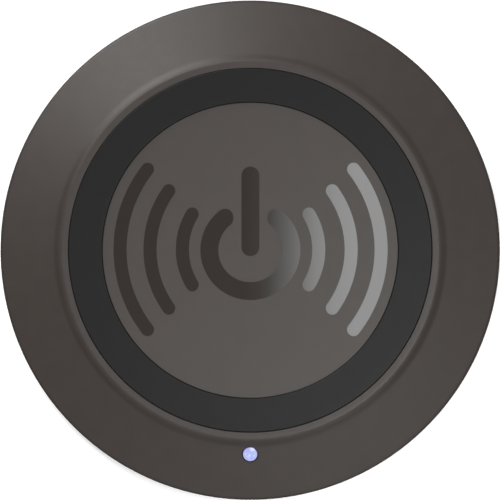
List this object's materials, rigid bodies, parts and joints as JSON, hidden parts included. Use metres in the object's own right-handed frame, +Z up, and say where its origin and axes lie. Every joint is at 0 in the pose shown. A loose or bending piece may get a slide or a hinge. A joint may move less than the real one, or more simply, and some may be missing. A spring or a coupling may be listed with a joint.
{
  "type": "wireless charging pad",
  "caption": "Low round charging pad for phones: conical metal skirt, raised lip, soft grip ring, flat plate, status light in front and USB-C socket behind.",
  "frame": {"origin": "centre of the pad on the surface that it stands on", "axes": "+Z up; -Y is the front, where the status light is; +Y is the rear, where the socket is"},
  "size_m": [0.1, 0.1, 0.011],
  "materials": {
    "housing_metal": "satin, dark warm grey, fine grain",
    "cover_plate": "soft-touch coated, dark warm grey, with a printed figure",
    "grip_rubber": "matt silicone, near black",
    "light_pipe": "clear acrylic, domed, lit pale blue-violet",
    "led_package": "white chip package",
    "dark_plastic": "matt black",
    "base_plastic": "fine spark-eroded texture, black",
    "foot_rubber": "matt silicone, black",
    "adhesive_film": "double-sided film",
    "screw_steel": "black zinc",
    "circuit_board": "green solder mask",
    "chip_package": "moulded epoxy",
    "inductor_ferrite": "pressed powder, grey",
    "ceramic_chip": "fired ceramic, tan",
    "socket_steel": "nickel-plated sheet",
    "socket_plastic": "moulded, black",
    "contact_gold": "gold flash",
    "copper_wire": "enamelled copper",
    "solder": "bright",
    "ferrite": "sintered, dark grey",
    "carrier_plastic": "moulded, pale grey",
    "thermistor_bead": "epoxy bead"
  },
  "bodies": {
    "root": {"housing": "housing_metal", "cover_plate": "cover_plate", "grip_ring": "grip_rubber", "light_pipe": "light_pipe", "status_led": "led_package", "led_shroud": "dark_plastic", "base_cover": "base_plastic", "base_screws": "screw_steel", "foot_ring": "foot_rubber", "main_board": "circuit_board", "controller_ic": "chip_package", "protocol_ic": "chip_package", "bridge_mosfets": "chip_package", "voltage_regulator": "chip_package", "power_inductor": "inductor_ferrite", "resonant_capacitors": "ceramic_chip", "bulk_capacitors": "ceramic_chip", "sense_resistor": "chip_package", "chip_resistors": "chip_package", "chip_capacitors": "ceramic_chip", "usb_shell": "socket_steel", "usb_insulator": "socket_plastic", "usb_contacts": "contact_gold", "coil_winding": "copper_wire", "coil_leads": "copper_wire", "lead_solder": "solder", "coil_adhesive": "adhesive_film", "ferrite_shield": "ferrite", "coil_carrier": "carrier_plastic", "thermistor": "thermistor_bead"}
  },
  "joints": []
}
